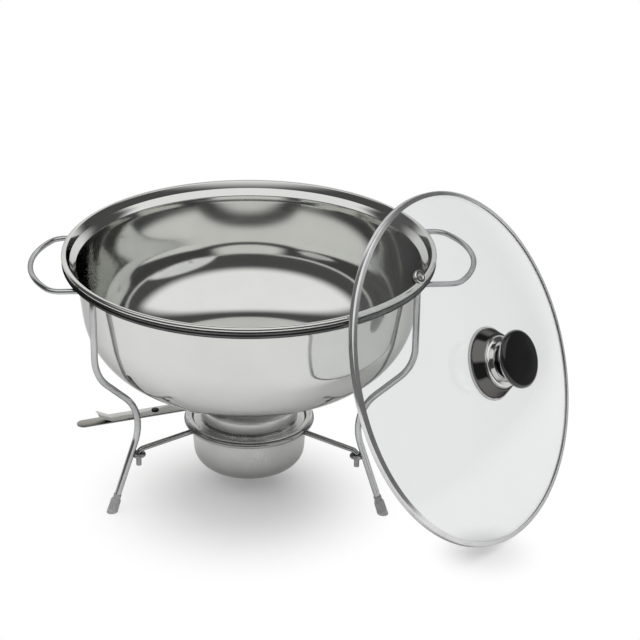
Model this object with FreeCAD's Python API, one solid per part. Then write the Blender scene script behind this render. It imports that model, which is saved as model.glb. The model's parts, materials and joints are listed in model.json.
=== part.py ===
import FreeCAD, Part
import math
import os

V = FreeCAD.Vector
UP = V(0, 0, 1)
ORIGIN = V(0, 0, 0)

# Driving dimensions, in millimetres and degrees. The floor is z = 0 and the bowl's axis is the Z axis.

# Bowl: spun steel sheet with a rolled rim, a stepped seat for the lid and a flat base
rim_radius = 155.0
rim_height = 215.0
bowl_depth = 111.5
bowl_sheet = 0.8
bead_depth = 4.2
seat_inset = 6.0
step_depth = 6.7
step_lean = 3.0
ledge_width = 5.4
ledge_drop = 4.5
wall_taper = 6.1
bowl_corner_radius = 66.0
base_margin = 15.0
base_panel_rise = 1.5

# Stand: bent wire, a top ring that carries the bowl's rim, three legs and two loop handles
stand_wire = 5.5
ring_inset = 3.0
seat_gap = 0.3
front_left_leg_angle = 208.3
front_right_leg_angle = 328.3
rear_leg_angle = 88.3
leg_twist = 5.4
leg_inset = 2.0
leg_top_gap = 1.75
knee_rise = 51.0
waist_rise = 30.0
waist_inset = 51.0
foot_splay = 33.0
knee_bend = 40.0
waist_bend = 44.0
handle_wire = 4.5
handle_half_width = 54.5
left_handle_reach = 28.5
right_handle_reach = 34.5
handle_turn = 2.0
handle_front_bend = 86.0
handle_corner_bend = 14.0
handle_tail = 2.0
weld_depth = 0.5

# Feet: soft sleeves pushed over the leg ends
foot_length = 17.0
foot_top_wall = 0.8
foot_bottom_wall = 1.8
foot_edge_round = 0.8
foot_floor = 2.5

# Burner holder: a ring on three arms whose bent ends drop into eyes on the legs
holder_wire = 4.5
holder_ring_radius = 53.5
holder_drop = 46.5
holder_arm_drop = 4.2
holder_arm_bend = 4.5
holder_pin_length = 14.5
eye_wire = 3.5
eye_clearance = 0.3
eye_reach = 7.8

# Burner: a drawn cup hung by its flange, a stepped cover with a neck, and the fuel pad inside
burner_sheet = 0.7
cup_depth = 43.5
cup_side_gap = 1.5
cup_draft = 3.2
cup_corner_radius = 15.0
flange_reach = 0.7
flange_bead = 0.9
cover_skirt_depth = 7.0
cover_sink = 1.5
cover_fit = 0.05
cover_shelf = 7.0
collar_rise = 14.0
collar_shelf = 12.7
neck_rise = 3.7
pad_height = 26.0
pad_gap = 0.3
gauze_thickness = 0.8

# Burner handle and damper: two flat strips, the upper one slides along the lower one
strip_angle = 199.0
strip_width = 12.0
handle_plate = 1.2
handle_ring_lap = 2.5
flame_hole_radius = 17.0
handle_length = 152.0
damper_sheet = 1.0
slide_gap = 0.3
damper_lap = 3.5
open_margin = 2.5
damper_length = 81.0
tab_length = 13.0
tab_rise = 5.5
guide_reach = 44.0
guide_shank_radius = 2.0
guide_side_gap = 0.3
guide_collar = 0.2
guide_head_radius = 3.2
guide_head_height = 1.2

# Lid: domed glass in a steel band, leaning on the bowl's rim with its outer face to the front right
lid_side_gap = 1.2
lid_azimuth = -36.5
lid_lean = 24.2
lid_side_shift = 53.3
lid_floor_gap = 0.3
lid_lean_gap = 0.35
glass_thickness = 3.2
dome_rise = 25.0
band_sheet = 0.5
band_width = 3.6
band_lap = 2.7
band_gap = 0.2
vent_across = -38.4
vent_up = 91.5
vent_hole_radius = 2.6
vent_flange_radius = 5.2
vent_wall = 0.8
vent_flange_height = 1.0

# Knob: a pressed bell on a soft gasket, a trim ring and a cap held by one screw through the glass
knob_hole_radius = 4.0
knob_hole_gap = 0.4
gasket_margin = 1.7
gasket_thickness = 1.2
bell_radius = 28.8
bell_sheet = 1.0
bell_band = 2.0
bell_shoulder_inset = 7.3
bell_shoulder_height = 10.3
bell_top_inset = 4.5
bell_top_height = 14.3
cap_neck_radius = 12.5
cap_neck_height = 1.5
cap_radius = 24.0
cap_edge_height = 5.2
cap_edge_round = 2.5
cap_crown = 2.0
trim_rise = 9.2
trim_thickness = 1.2
screw_radius = 2.5
screw_depth_in_cap = 8.0
screw_head_radius = 5.0
screw_head_height = 2.5
washer_radius = 9.0
washer_thickness = 1.0


# Shared shapes

def along(angle, radius, z):
    a = math.radians(angle)
    return V(radius * math.cos(a), radius * math.sin(a), z)


# A closed face in the XZ plane: a step is (r, z) for a line, or (middle, end) for an arc
def profile_face(start, *steps):
    edges = []
    here = V(start[0], 0, start[1])
    for step in steps + (start,):
        if isinstance(step[0], tuple):
            middle = V(step[0][0], 0, step[0][1])
            there = V(step[1][0], 0, step[1][1])
            edges.append(Part.Arc(here, middle, there).toShape())
        else:
            there = V(step[0], 0, step[1])
            edges.append(Part.makeLine(here, there))
        here = there
    return Part.Face(Part.Wire(edges))


def turned(start, *steps):
    return profile_face(start, *steps).revolve(ORIGIN, UP, 360)


# The points of an open run of lines, moved to the left of its direction, with mitred corners
def offset_points(points, gap):
    normals = []
    for a, b in zip(points, points[1:]):
        length = math.hypot(b[0] - a[0], b[1] - a[1])
        normals.append((-(b[1] - a[1]) / length, (b[0] - a[0]) / length))
    moved = []
    for i, point in enumerate(points):
        first = normals[max(i - 1, 0)]
        second = normals[min(i, len(normals) - 1)]
        share = 1 + first[0] * second[0] + first[1] * second[1]
        moved.append((point[0] + gap * (first[0] + second[0]) / share,
                      point[1] + gap * (first[1] + second[1]) / share))
    return moved


def swept(edges, diameter):
    path = Part.Wire(edges)
    start = path.OrderedVertexes[0].Point
    tangent = edges[0].tangentAt(edges[0].FirstParameter)
    section = Part.Wire(Part.makeCircle(diameter / 2, start, tangent))
    return path.makePipeShell([section], True, False)


# A round wire along straight runs, with a tangent arc at each corner
def bent_wire(points, bends, diameter):
    edges = []
    here = points[0]
    for before, corner, after, bend in zip(points, points[1:], points[2:], bends):
        back = (before - corner).normalize()
        ahead = (after - corner).normalize()
        half_turn = (math.pi - back.getAngle(ahead)) / 2
        reach = bend * math.tan(half_turn)
        inward = (back + ahead).normalize()
        middle = corner + inward * (bend / math.cos(half_turn) - bend)
        enter = corner + back * reach
        leave = corner + ahead * reach
        edges.append(Part.makeLine(here, enter))
        edges.append(Part.Arc(enter, middle, leave).toShape())
        here = leave
    edges.append(Part.makeLine(here, points[-1]))
    return swept(edges, diameter)


# A flat face with round ends, along X between the two end centres
def round_ended(start_x, end_x, radius):
    a, b = V(start_x, -radius, 0), V(end_x, -radius, 0)
    c, d = V(end_x, radius, 0), V(start_x, radius, 0)
    return Part.Face(Part.Wire([
        Part.makeLine(a, b),
        Part.Arc(b, V(end_x + radius, 0, 0), c).toShape(),
        Part.makeLine(c, d),
        Part.Arc(d, V(start_x - radius, 0, 0), a).toShape(),
    ]))


# Bowl

bowl_base_height = rim_height - bowl_depth
seat_radius = rim_radius - seat_inset


def make_bowl():
    crown = (seat_radius + step_lean, rim_height)
    seat = (seat_radius, rim_height - step_depth)
    step_slope = step_lean / step_depth
    wall_top = (seat[0] - ledge_width, seat[1] - ledge_drop)
    lean = math.radians(wall_taper)
    corner_height = bowl_base_height + bowl_corner_radius
    wall_foot_height = corner_height - bowl_corner_radius * math.sin(lean)
    wall_foot_radius = wall_top[0] - (wall_top[1] - wall_foot_height) * math.tan(lean)
    corner_centre = wall_foot_radius - bowl_corner_radius * math.cos(lean)
    turn = math.radians(45) + lean / 2

    def on_corner(radius):
        return (corner_centre + radius * math.cos(turn), corner_height - radius * math.sin(turn))

    outside = [crown, seat, wall_top, (wall_foot_radius, wall_foot_height)]
    inside = offset_points(outside, -bowl_sheet)
    low = bowl_base_height
    floor = low + bowl_sheet
    panel_edge = corner_centre - base_margin
    panel = panel_edge - base_panel_rise
    bead_round = bead_depth / 2
    bead_flat = rim_radius - bead_round
    return turned(
        (0, low + base_panel_rise),
        (panel, low + base_panel_rise),
        (panel_edge, low),
        (corner_centre, low),
        (on_corner(bowl_corner_radius), outside[3]),
        outside[2], outside[1],
        (seat[0] + (step_depth - bead_depth) * step_slope, rim_height - bead_depth),
        (bead_flat, rim_height - bead_depth),
        ((rim_radius, rim_height - bead_round), (bead_flat, rim_height)),
        (inside[1][0] + (rim_height - inside[1][1]) * step_slope, rim_height),
        inside[1], inside[2], inside[3],
        (on_corner(bowl_corner_radius - bowl_sheet), (corner_centre, floor)),
        (panel_edge, floor),
        (panel, floor + base_panel_rise),
        (0, floor + base_panel_rise),
    )


# Stand

stand_ring_radius = rim_radius - ring_inset
stand_ring_height = rim_height - bead_depth - seat_gap - stand_wire / 2
leg_top_radius = stand_ring_radius - leg_inset
handle_height = stand_ring_height - (stand_wire + handle_wire) / 2 + weld_depth
holder_ring_height = bowl_base_height - holder_drop
waist_height = holder_ring_height + waist_rise
knee_height = waist_height + knee_rise
waist_radius = leg_top_radius - waist_inset
foot_radius = waist_radius + foot_splay


# The leg's centre below the waist, where it runs straight out to the foot
def leg_radius_at(height):
    return foot_radius - foot_splay * height / waist_height


# A leg whose welded top is turned ahead of its foot
def make_leg(angle, ring):
    points = [
        along(angle + leg_twist, leg_top_radius, stand_ring_height - leg_top_gap),
        along(angle + leg_twist, leg_top_radius, knee_height),
        along(angle, waist_radius, waist_height),
        along(angle, leg_radius_at(foot_floor), foot_floor),
    ]
    return bent_wire(points, [knee_bend, waist_bend], stand_wire).cut(ring)


def make_foot(angle, leg):
    bottom = along(angle, foot_radius, 0)
    axis = (along(angle, waist_radius, waist_height) - bottom).normalize()
    top_radius = stand_wire / 2 + foot_top_wall
    bottom_radius = stand_wire / 2 + foot_bottom_wall
    below = bottom_radius
    flare = (bottom_radius - top_radius) * below / foot_length
    sleeve = Part.makeCone(bottom_radius + flare, top_radius, foot_length + below, bottom - axis * below, axis)
    slab = 4 * foot_length
    sleeve = sleeve.cut(Part.makeBox(slab, slab, slab, bottom - V(slab / 2, slab / 2, slab)))
    sole = min(sleeve.Faces, key=lambda face: face.CenterOfMass.z)
    crown = max(sleeve.Faces, key=lambda face: face.CenterOfMass.z)
    return sleeve.makeFillet(foot_edge_round, sole.Edges + crown.Edges).cut(leg)


# The loop's centre line: two short tails, two corners and a slightly bowed front
def handle_path(side):
    front = stand_ring_radius + (right_handle_reach if side > 0 else left_handle_reach)
    front_centre = front - handle_front_bend
    corner_y = handle_half_width - handle_corner_bend
    corner_x = front_centre + math.sqrt((handle_front_bend - handle_corner_bend) ** 2 - corner_y ** 2)
    join = math.atan2(corner_y, corner_x - front_centre)
    tail_x = math.sqrt(stand_ring_radius ** 2 - handle_half_width ** 2) - handle_tail

    turn = math.radians(handle_turn)

    def at(x, y):
        return V(side * x * math.cos(turn) - y * math.sin(turn),
                 side * x * math.sin(turn) + y * math.cos(turn), handle_height)

    def corner(angle, end):
        return at(corner_x + handle_corner_bend * math.cos(angle),
                  end * (corner_y + handle_corner_bend * math.sin(angle)))

    middle = (join + math.pi / 2) / 2
    return [
        Part.makeLine(at(tail_x, -handle_half_width), at(corner_x, -handle_half_width)),
        Part.Arc(at(corner_x, -handle_half_width), corner(middle, -1), corner(join, -1)).toShape(),
        Part.Arc(corner(join, -1), at(front, 0), corner(join, 1)).toShape(),
        Part.Arc(corner(join, 1), corner(middle, 1), at(corner_x, handle_half_width)).toShape(),
        Part.makeLine(at(corner_x, handle_half_width), at(tail_x, handle_half_width)),
    ]


# Burner holder

eye_ring_radius = (holder_wire + eye_wire) / 2 + eye_clearance
holder_arm_end = holder_ring_height - holder_arm_drop
eye_height = holder_arm_end - eye_ring_radius
holder_pin_radius = leg_radius_at(eye_height) - eye_reach


def make_eye(angle, leg):
    eye = Part.makeTorus(eye_ring_radius, eye_wire / 2, along(angle, holder_pin_radius, eye_height), UP)
    start = along(angle, holder_pin_radius + eye_ring_radius, eye_height)
    end = along(angle, leg_radius_at(eye_height), eye_height)
    stem = Part.makeCylinder(eye_wire / 2, end.distanceToPoint(start), start, end - start)
    return eye.fuse(stem).cut(leg)


def make_holder_arm(angle, ring):
    points = [
        along(angle, holder_ring_radius, holder_ring_height),
        along(angle, holder_pin_radius, holder_arm_end),
        along(angle, holder_pin_radius, holder_arm_end - holder_pin_length),
    ]
    return bent_wire(points, [holder_arm_bend], holder_wire).cut(ring)


# Burner, built with its handle along X and then turned to the strip's direction

flange_height = holder_ring_height + holder_wire / 2 + seat_gap
flange_radius = holder_ring_radius + flange_reach
cup_top_radius = holder_ring_radius - holder_wire / 2 - cup_side_gap
cup_base_height = flange_height - cup_depth
cup_lean = math.atan2(cup_draft, cup_depth)
cup_wall = burner_sheet / math.cos(cup_lean)
cover_height = flange_height - cover_sink
collar_height = cover_height + collar_rise
neck_height = collar_height + neck_rise
damper_height = neck_height + handle_plate + slide_gap


def cup_radius_at(height):
    return cup_top_radius - cup_draft * (flange_height - height) / cup_depth


cover_skirt_low = cover_height - cover_skirt_depth
cover_skirt_radius = cup_radius_at(cover_skirt_low) - cup_wall - cover_fit
collar_radius = cover_skirt_radius - cover_shelf
neck_radius = collar_radius - collar_shelf
cup_corner_height = cup_base_height + cup_corner_radius
cup_corner_centre = (cup_radius_at(cup_corner_height - cup_corner_radius * math.sin(cup_lean))
                     - cup_corner_radius * math.cos(cup_lean))
cup_corner_turn = math.radians(45) + cup_lean / 2


# A point on the rounded foot of the cup's wall, or of what lines it
def on_cup_corner(radius, angle):
    return (cup_corner_centre + radius * math.cos(angle), cup_corner_height - radius * math.sin(angle))


def make_burner_cup():
    inner = cup_corner_radius - burner_sheet
    floor = cup_base_height + burner_sheet
    bead = flange_radius - flange_bead
    top = flange_height + burner_sheet
    return turned(
        (0, cup_base_height),
        (cup_corner_centre, cup_base_height),
        (on_cup_corner(cup_corner_radius, cup_corner_turn), on_cup_corner(cup_corner_radius, cup_lean)),
        (cup_top_radius, flange_height),
        (bead, flange_height),
        ((flange_radius, flange_height + flange_bead), (bead, flange_height + 2 * flange_bead)),
        (bead, top),
        (cup_radius_at(top) - cup_wall, top),
        on_cup_corner(inner, cup_lean),
        (on_cup_corner(inner, cup_corner_turn), (cup_corner_centre, floor)),
        (0, floor),
    )


def make_burner_cover():
    run = [
        (cover_skirt_radius, cover_skirt_low), (cover_skirt_radius, cover_height),
        (collar_radius, cover_height), (collar_radius, collar_height),
        (neck_radius, collar_height), (neck_radius, neck_height),
    ]
    return turned(*run, *reversed(offset_points(run, burner_sheet)))


pad_floor = cup_base_height + burner_sheet
pad_top = pad_floor + pad_height
pad_top_radius = cup_radius_at(pad_top) - cup_wall - pad_gap


# The pad fills the foot of the cup
def make_fuel_pad():
    corner = cup_corner_radius - burner_sheet - pad_gap
    return turned(
        (0, pad_floor),
        (cup_corner_centre, pad_floor),
        (cup_corner_centre, pad_floor + pad_gap),
        (on_cup_corner(corner, cup_corner_turn), on_cup_corner(corner, cup_lean)),
        (pad_top_radius, pad_top), (0, pad_top))


def make_pad_gauze():
    top = pad_top + gauze_thickness
    return turned((0, pad_top), (pad_top_radius, pad_top), (pad_top_radius, top), (0, top))


damper_disc_radius = flame_hole_radius + damper_lap
damper_travel = flame_hole_radius + damper_disc_radius + open_margin
guide_radius = damper_travel + guide_reach
tab_start = damper_travel + damper_length


def make_burner_handle():
    half = strip_width / 2
    ring = Part.Face(Part.Wire(Part.makeCircle(neck_radius + handle_ring_lap)))
    strip = round_ended(neck_radius, handle_length - half, half)
    body = ring.fuse(strip).removeSplitter().extrude(UP * handle_plate)
    hole = Part.makeCylinder(flame_hole_radius, handle_plate)
    slot = round_ended(guide_radius - damper_travel, guide_radius, guide_shank_radius + guide_side_gap)
    return body.cut(hole).cut(slot.extrude(UP * handle_plate)).translated(UP * neck_height)


def make_damper():
    half = strip_width / 2
    disc = Part.Face(Part.Wire(Part.makeCircle(damper_disc_radius, V(damper_travel, 0, 0))))
    strip = Part.makePlane(damper_length, strip_width, V(damper_travel, -half, 0))
    flat = disc.fuse(strip).removeSplitter().extrude(UP * damper_sheet)
    run = [(tab_start, 0), (tab_start + 2 * damper_sheet, 0), (tab_start + tab_length, tab_rise)]
    tab_side = profile_face(*run, *reversed(offset_points(run, damper_sheet)))
    tab = tab_side.translated(V(0, -half, 0)).extrude(V(0, strip_width, 0))
    rivet_hole = Part.makeCylinder(guide_shank_radius + guide_collar, damper_sheet, V(guide_radius, 0, 0))
    return flat.fuse(tab).removeSplitter().cut(rivet_hole).translated(UP * damper_height)


# The rivet is fast in the damper and runs in the handle's slot
def make_guide_rivet():
    top = damper_height + damper_sheet
    low = neck_height - slide_gap
    crown = guide_head_height / 2
    shank = guide_shank_radius
    collar = shank + guide_collar
    head = guide_head_radius
    rivet = turned(
        (0, low - guide_head_height), (head, low - guide_head_height), (head, low),
        (shank, low), (shank, damper_height), (collar, damper_height), (collar, top),
        (head, top), (head, top + crown), (head - crown, top + guide_head_height), (0, top + guide_head_height))
    return rivet.translated(V(guide_radius, 0, 0))


def on_burner(shape):
    return shape.rotated(ORIGIN, UP, strip_angle)


# Lid, built lying with its dome up on local Z and then leaned on the bowl

lid_radius = seat_radius - bowl_sheet - lid_side_gap
glass_edge_radius = lid_radius - band_sheet - band_gap
dome_inner_radius = (glass_edge_radius ** 2 + dome_rise ** 2) / (2 * dome_rise)
dome_outer_radius = dome_inner_radius + glass_thickness
dome_centre = dome_rise - dome_inner_radius
apex = dome_rise + glass_thickness


def dome_height(radius, dome):
    return dome_centre + math.sqrt(dome ** 2 - radius ** 2)


# A ring of even thickness that lies on a dome
def dome_sheet(dome, inner, outer, thickness):
    middle = (inner + outer) / 2
    high = dome + thickness
    return turned(
        (inner, dome_height(inner, dome)),
        ((middle, dome_height(middle, dome)), (outer, dome_height(outer, dome))),
        (outer, dome_height(outer, high)),
        ((middle, dome_height(middle, high)), (inner, dome_height(inner, high))))


# Moves a piece made at the dome's apex to the vent, square to the glass
def at_vent(shape):
    lean = math.degrees(math.asin(math.hypot(vent_across, vent_up) / dome_outer_radius))
    return shape.rotated(V(0, 0, dome_centre), V(-vent_up, vent_across, 0), lean)


def make_lid_glass():
    glass = dome_sheet(dome_inner_radius, knob_hole_radius, glass_edge_radius, glass_thickness)
    drill = Part.makeCylinder(vent_hole_radius + vent_wall, 3 * glass_thickness, V(0, 0, apex - 2 * glass_thickness))
    return glass.cut(at_vent(drill))


# A channel folded over the glass edge, its upper lip sloped with the dome
def make_lid_band():
    wall = glass_edge_radius + band_gap
    inner = wall - band_width
    fall = glass_edge_radius / math.sqrt(dome_outer_radius ** 2 - glass_edge_radius ** 2)
    top = dome_height(glass_edge_radius, dome_outer_radius) + band_gap
    inside = [(inner, top + fall * band_width), (wall, top), (wall, -band_gap), (wall - band_lap, -band_gap)]
    return turned(*inside, *reversed(offset_points(inside, band_sheet)))


def make_vent_eyelet():
    bore = vent_hole_radius
    wall = bore + vent_wall
    flange = vent_flange_radius
    edge = vent_flange_height / 2
    top = apex + vent_flange_height
    low = dome_rise - vent_flange_height
    return at_vent(turned(
        (bore, low), (flange - edge, low), (flange, dome_rise), (wall, dome_rise), (wall, apex),
        (flange, apex), (flange, top - edge), (flange - edge, top), (bore + edge, top), (bore, top - edge)))


gasket_radius = bell_radius + gasket_margin
bell_low = dome_height(bell_radius, dome_outer_radius + gasket_thickness)
bell_top = apex + bell_top_height
trim_low = bell_top + cap_neck_height
cap_low = trim_low + trim_rise
trim_inside = [(cap_neck_radius, trim_low), (cap_radius - cap_edge_round, cap_low)]
washer_high = dome_rise - gasket_thickness
washer_low = washer_high - washer_thickness
screw_top = bell_top + screw_depth_in_cap


def make_knob_bell():
    shoulder = bell_radius - bell_shoulder_inset
    shoulder_height = apex + bell_shoulder_height
    run = [
        (bell_radius, bell_low), (bell_radius, bell_low + bell_band),
        (shoulder + bell_band, shoulder_height), (shoulder, shoulder_height),
        (shoulder, bell_top - bell_band), (shoulder - bell_top_inset, bell_top), (screw_radius, bell_top),
    ]
    return turned(*run, *reversed(offset_points(run, bell_sheet)))


# A flared collar between the bell and the cap's edge
def make_trim_ring():
    return turned(*trim_inside, *reversed(offset_points(trim_inside, -trim_thickness)))


def make_knob_cap():
    edge_top = cap_low + cap_edge_height
    face = cap_radius - cap_edge_round
    crown_radius = (face ** 2 + cap_crown ** 2) / (2 * cap_crown)
    crown_middle = edge_top + cap_crown - crown_radius + math.sqrt(crown_radius ** 2 - face ** 2 / 4)
    return turned(
        (screw_radius, bell_top), (cap_neck_radius, bell_top),
        *trim_inside,
        ((cap_radius, (cap_low + edge_top) / 2), (face, edge_top)),
        ((face / 2, crown_middle), (0, edge_top + cap_crown)),
        (0, screw_top), (screw_radius, screw_top))


def make_knob_screw():
    head_low = washer_low - screw_head_height
    rounding = screw_head_height / 2
    return turned(
        (0, head_low), (screw_head_radius - rounding, head_low), (screw_head_radius, head_low + rounding),
        (screw_head_radius, washer_low), (screw_radius, washer_low), (screw_radius, screw_top), (0, screw_top))


def make_knob_washer():
    return turned(
        (screw_radius, washer_low), (washer_radius, washer_low),
        (washer_radius, washer_high), (screw_radius, washer_high))


# A soft bush under the glass, with a sleeve up the hole
def make_inner_gasket():
    sleeve = knob_hole_radius - knob_hole_gap
    middle = (washer_radius + sleeve) / 2
    seat = dome_height(washer_radius, dome_inner_radius)
    return turned(
        (screw_radius, washer_high), (washer_radius, washer_high), (washer_radius, seat),
        ((middle, dome_height(middle, dome_inner_radius)), (sleeve, dome_height(sleeve, dome_inner_radius))),
        (sleeve, apex), (screw_radius, apex))


# The leaning lid at a distance from the bowl's axis, standing on the floor on its band
def lid_placement(distance):
    lean = math.radians(lid_lean)
    band_low = band_gap + band_sheet
    height = lid_floor_gap + lid_radius * math.cos(lean) + band_low * math.sin(lean)
    centre = along(lid_azimuth, distance, height) + along(lid_azimuth + 90, lid_side_shift, 0)
    turn = FreeCAD.Rotation(UP, lid_azimuth + 90)
    return FreeCAD.Placement(centre, turn * FreeCAD.Rotation(V(1, 0, 0), 90 - lid_lean))


# The least room between the lid's hollow side and round things: pairs of a centre point and a radius
def lid_room(distance, things):
    to_lid = lid_placement(distance).inverse()
    rooms = []
    for point, radius in things:
        local = to_lid.multVec(point)
        off_axis = math.hypot(local.x, local.y)
        beside = max(glass_edge_radius - band_lap - off_axis, off_axis - lid_radius, 0)
        below = -band_gap - band_sheet - local.z
        room = math.hypot(beside, max(below, 0)) if beside > 0 or below > 0 else below
        if off_axis < glass_edge_radius:
            room = min(room, dome_inner_radius - local.distanceToPoint(V(0, 0, dome_centre)))
        rooms.append(room - radius)
    return min(rooms)


# The nearest distance at which the hollow side clears the rim and the handle by the leaning gap
def lid_distance():
    bead_round = bead_depth / 2
    rim = Part.makeCircle(rim_radius - bead_round, V(0, 0, rim_height - bead_round))
    things = [(point, bead_round) for point in rim.discretize(Number=720)]
    for edge in handle_path(1):
        things += [(point, handle_wire / 2) for point in edge.discretize(Number=20)]
    near, far = rim_radius / 2, rim_radius + lid_radius
    while far - near > 0.01:
        middle = (near + far) / 2
        if lid_room(middle, things) > lid_lean_gap:
            far = middle
        else:
            near = middle
    return far


# Assembly

def build_parts():
    ring = Part.makeTorus(stand_ring_radius, stand_wire / 2, V(0, 0, stand_ring_height), UP)
    holder_ring = Part.makeTorus(holder_ring_radius, holder_wire / 2, V(0, 0, holder_ring_height), UP)
    parts = {"bowl": make_bowl(), "stand_ring": ring, "burner_ring": holder_ring}
    leg_angles = {"front_left": front_left_leg_angle, "front_right": front_right_leg_angle, "rear": rear_leg_angle}
    for place, angle in leg_angles.items():
        leg = make_leg(angle, ring)
        parts["leg_" + place] = leg
        parts["foot_" + place] = make_foot(angle, leg)
        parts["eye_" + place] = make_eye(angle, leg)
        parts["burner_arm_" + place] = make_holder_arm(angle, holder_ring)
    parts["handle_left"] = swept(handle_path(-1), handle_wire).cut(ring)
    parts["handle_right"] = swept(handle_path(1), handle_wire).cut(ring)

    burner = {
        "burner_cup": make_burner_cup(),
        "burner_cover": make_burner_cover(),
        "fuel_pad": make_fuel_pad(),
        "pad_gauze": make_pad_gauze(),
        "burner_handle": make_burner_handle(),
        "damper_plate": make_damper(),
        "guide_rivet": make_guide_rivet(),
    }
    for name, shape in burner.items():
        parts[name] = on_burner(shape)

    lid = {
        "lid_glass": make_lid_glass(),
        "lid_band": make_lid_band(),
        "vent_eyelet": make_vent_eyelet(),
        "knob_gasket": dome_sheet(dome_outer_radius, knob_hole_radius, gasket_radius, gasket_thickness),
        "knob_bell": make_knob_bell(),
        "knob_cap": make_knob_cap(),
        "knob_trim_ring": make_trim_ring(),
        "knob_screw": make_knob_screw(),
        "knob_washer": make_knob_washer(),
        "inner_gasket": make_inner_gasket(),
    }
    leaning = lid_placement(lid_distance()).toMatrix()
    for name, shape in lid.items():
        parts[name] = shape.transformed(leaning)
    return parts


os.makedirs("parts", exist_ok=True)
for name, shape in build_parts().items():
    shape.exportStep("parts/" + name + ".step")
    print(name, "solids", len(shape.Solids), "valid", shape.isValid(), "volume", round(shape.Volume, 1))
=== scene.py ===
import json
import math

import bmesh
import bpy
from mathutils import Matrix, Vector

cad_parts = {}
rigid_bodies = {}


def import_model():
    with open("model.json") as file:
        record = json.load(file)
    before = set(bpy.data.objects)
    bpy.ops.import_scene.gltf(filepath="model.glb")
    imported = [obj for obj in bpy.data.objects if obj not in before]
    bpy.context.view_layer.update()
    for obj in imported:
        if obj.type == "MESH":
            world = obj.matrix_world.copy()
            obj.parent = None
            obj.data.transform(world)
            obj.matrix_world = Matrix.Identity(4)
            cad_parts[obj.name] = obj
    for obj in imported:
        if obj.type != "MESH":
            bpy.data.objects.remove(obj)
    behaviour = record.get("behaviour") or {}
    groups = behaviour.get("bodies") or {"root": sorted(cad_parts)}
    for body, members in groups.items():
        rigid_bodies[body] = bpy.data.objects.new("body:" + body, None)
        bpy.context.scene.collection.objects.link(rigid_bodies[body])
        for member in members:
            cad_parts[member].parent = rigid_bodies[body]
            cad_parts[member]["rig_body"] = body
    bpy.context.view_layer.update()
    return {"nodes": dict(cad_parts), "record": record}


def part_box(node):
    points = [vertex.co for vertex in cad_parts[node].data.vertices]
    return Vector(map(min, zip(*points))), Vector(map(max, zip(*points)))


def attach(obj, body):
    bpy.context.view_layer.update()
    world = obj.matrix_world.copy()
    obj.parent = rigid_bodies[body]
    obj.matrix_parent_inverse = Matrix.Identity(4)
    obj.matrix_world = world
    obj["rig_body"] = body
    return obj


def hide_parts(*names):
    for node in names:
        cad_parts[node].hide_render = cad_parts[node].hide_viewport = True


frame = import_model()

mm = 0.001  # pieces are drawn in millimetres and scaled to metres when they are finished
mergeGap = 0.0005
up = Vector((0, 0, 1))
fullTurn = 2 * math.pi
print("frame loaded:", len(frame["nodes"]), "nodes")


# Shader maths on sockets
class Signal:
    def __init__(self, finish, socket):
        self.finish = finish
        self.socket = socket

    def maths(self, operation, first, second):
        made = self.finish.node("ShaderNodeMath", {"operation": operation}, {0: first, 1: second})
        return made["Value"]

    def __add__(self, other):
        return self.maths("ADD", self, other)

    def __radd__(self, other):
        return self.maths("ADD", other, self)

    def __sub__(self, other):
        return self.maths("SUBTRACT", self, other)

    def __rsub__(self, other):
        return self.maths("SUBTRACT", other, self)

    def __mul__(self, other):
        return self.maths("MULTIPLY", self, other)

    def __rmul__(self, other):
        return self.maths("MULTIPLY", other, self)

    def __pow__(self, other):
        return self.maths("POWER", self, other)


# A grey number or a colour, as four channels
def shadeOf(value):
    return (*value, 1) if isinstance(value, tuple) else (value, value, value, 1)


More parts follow.
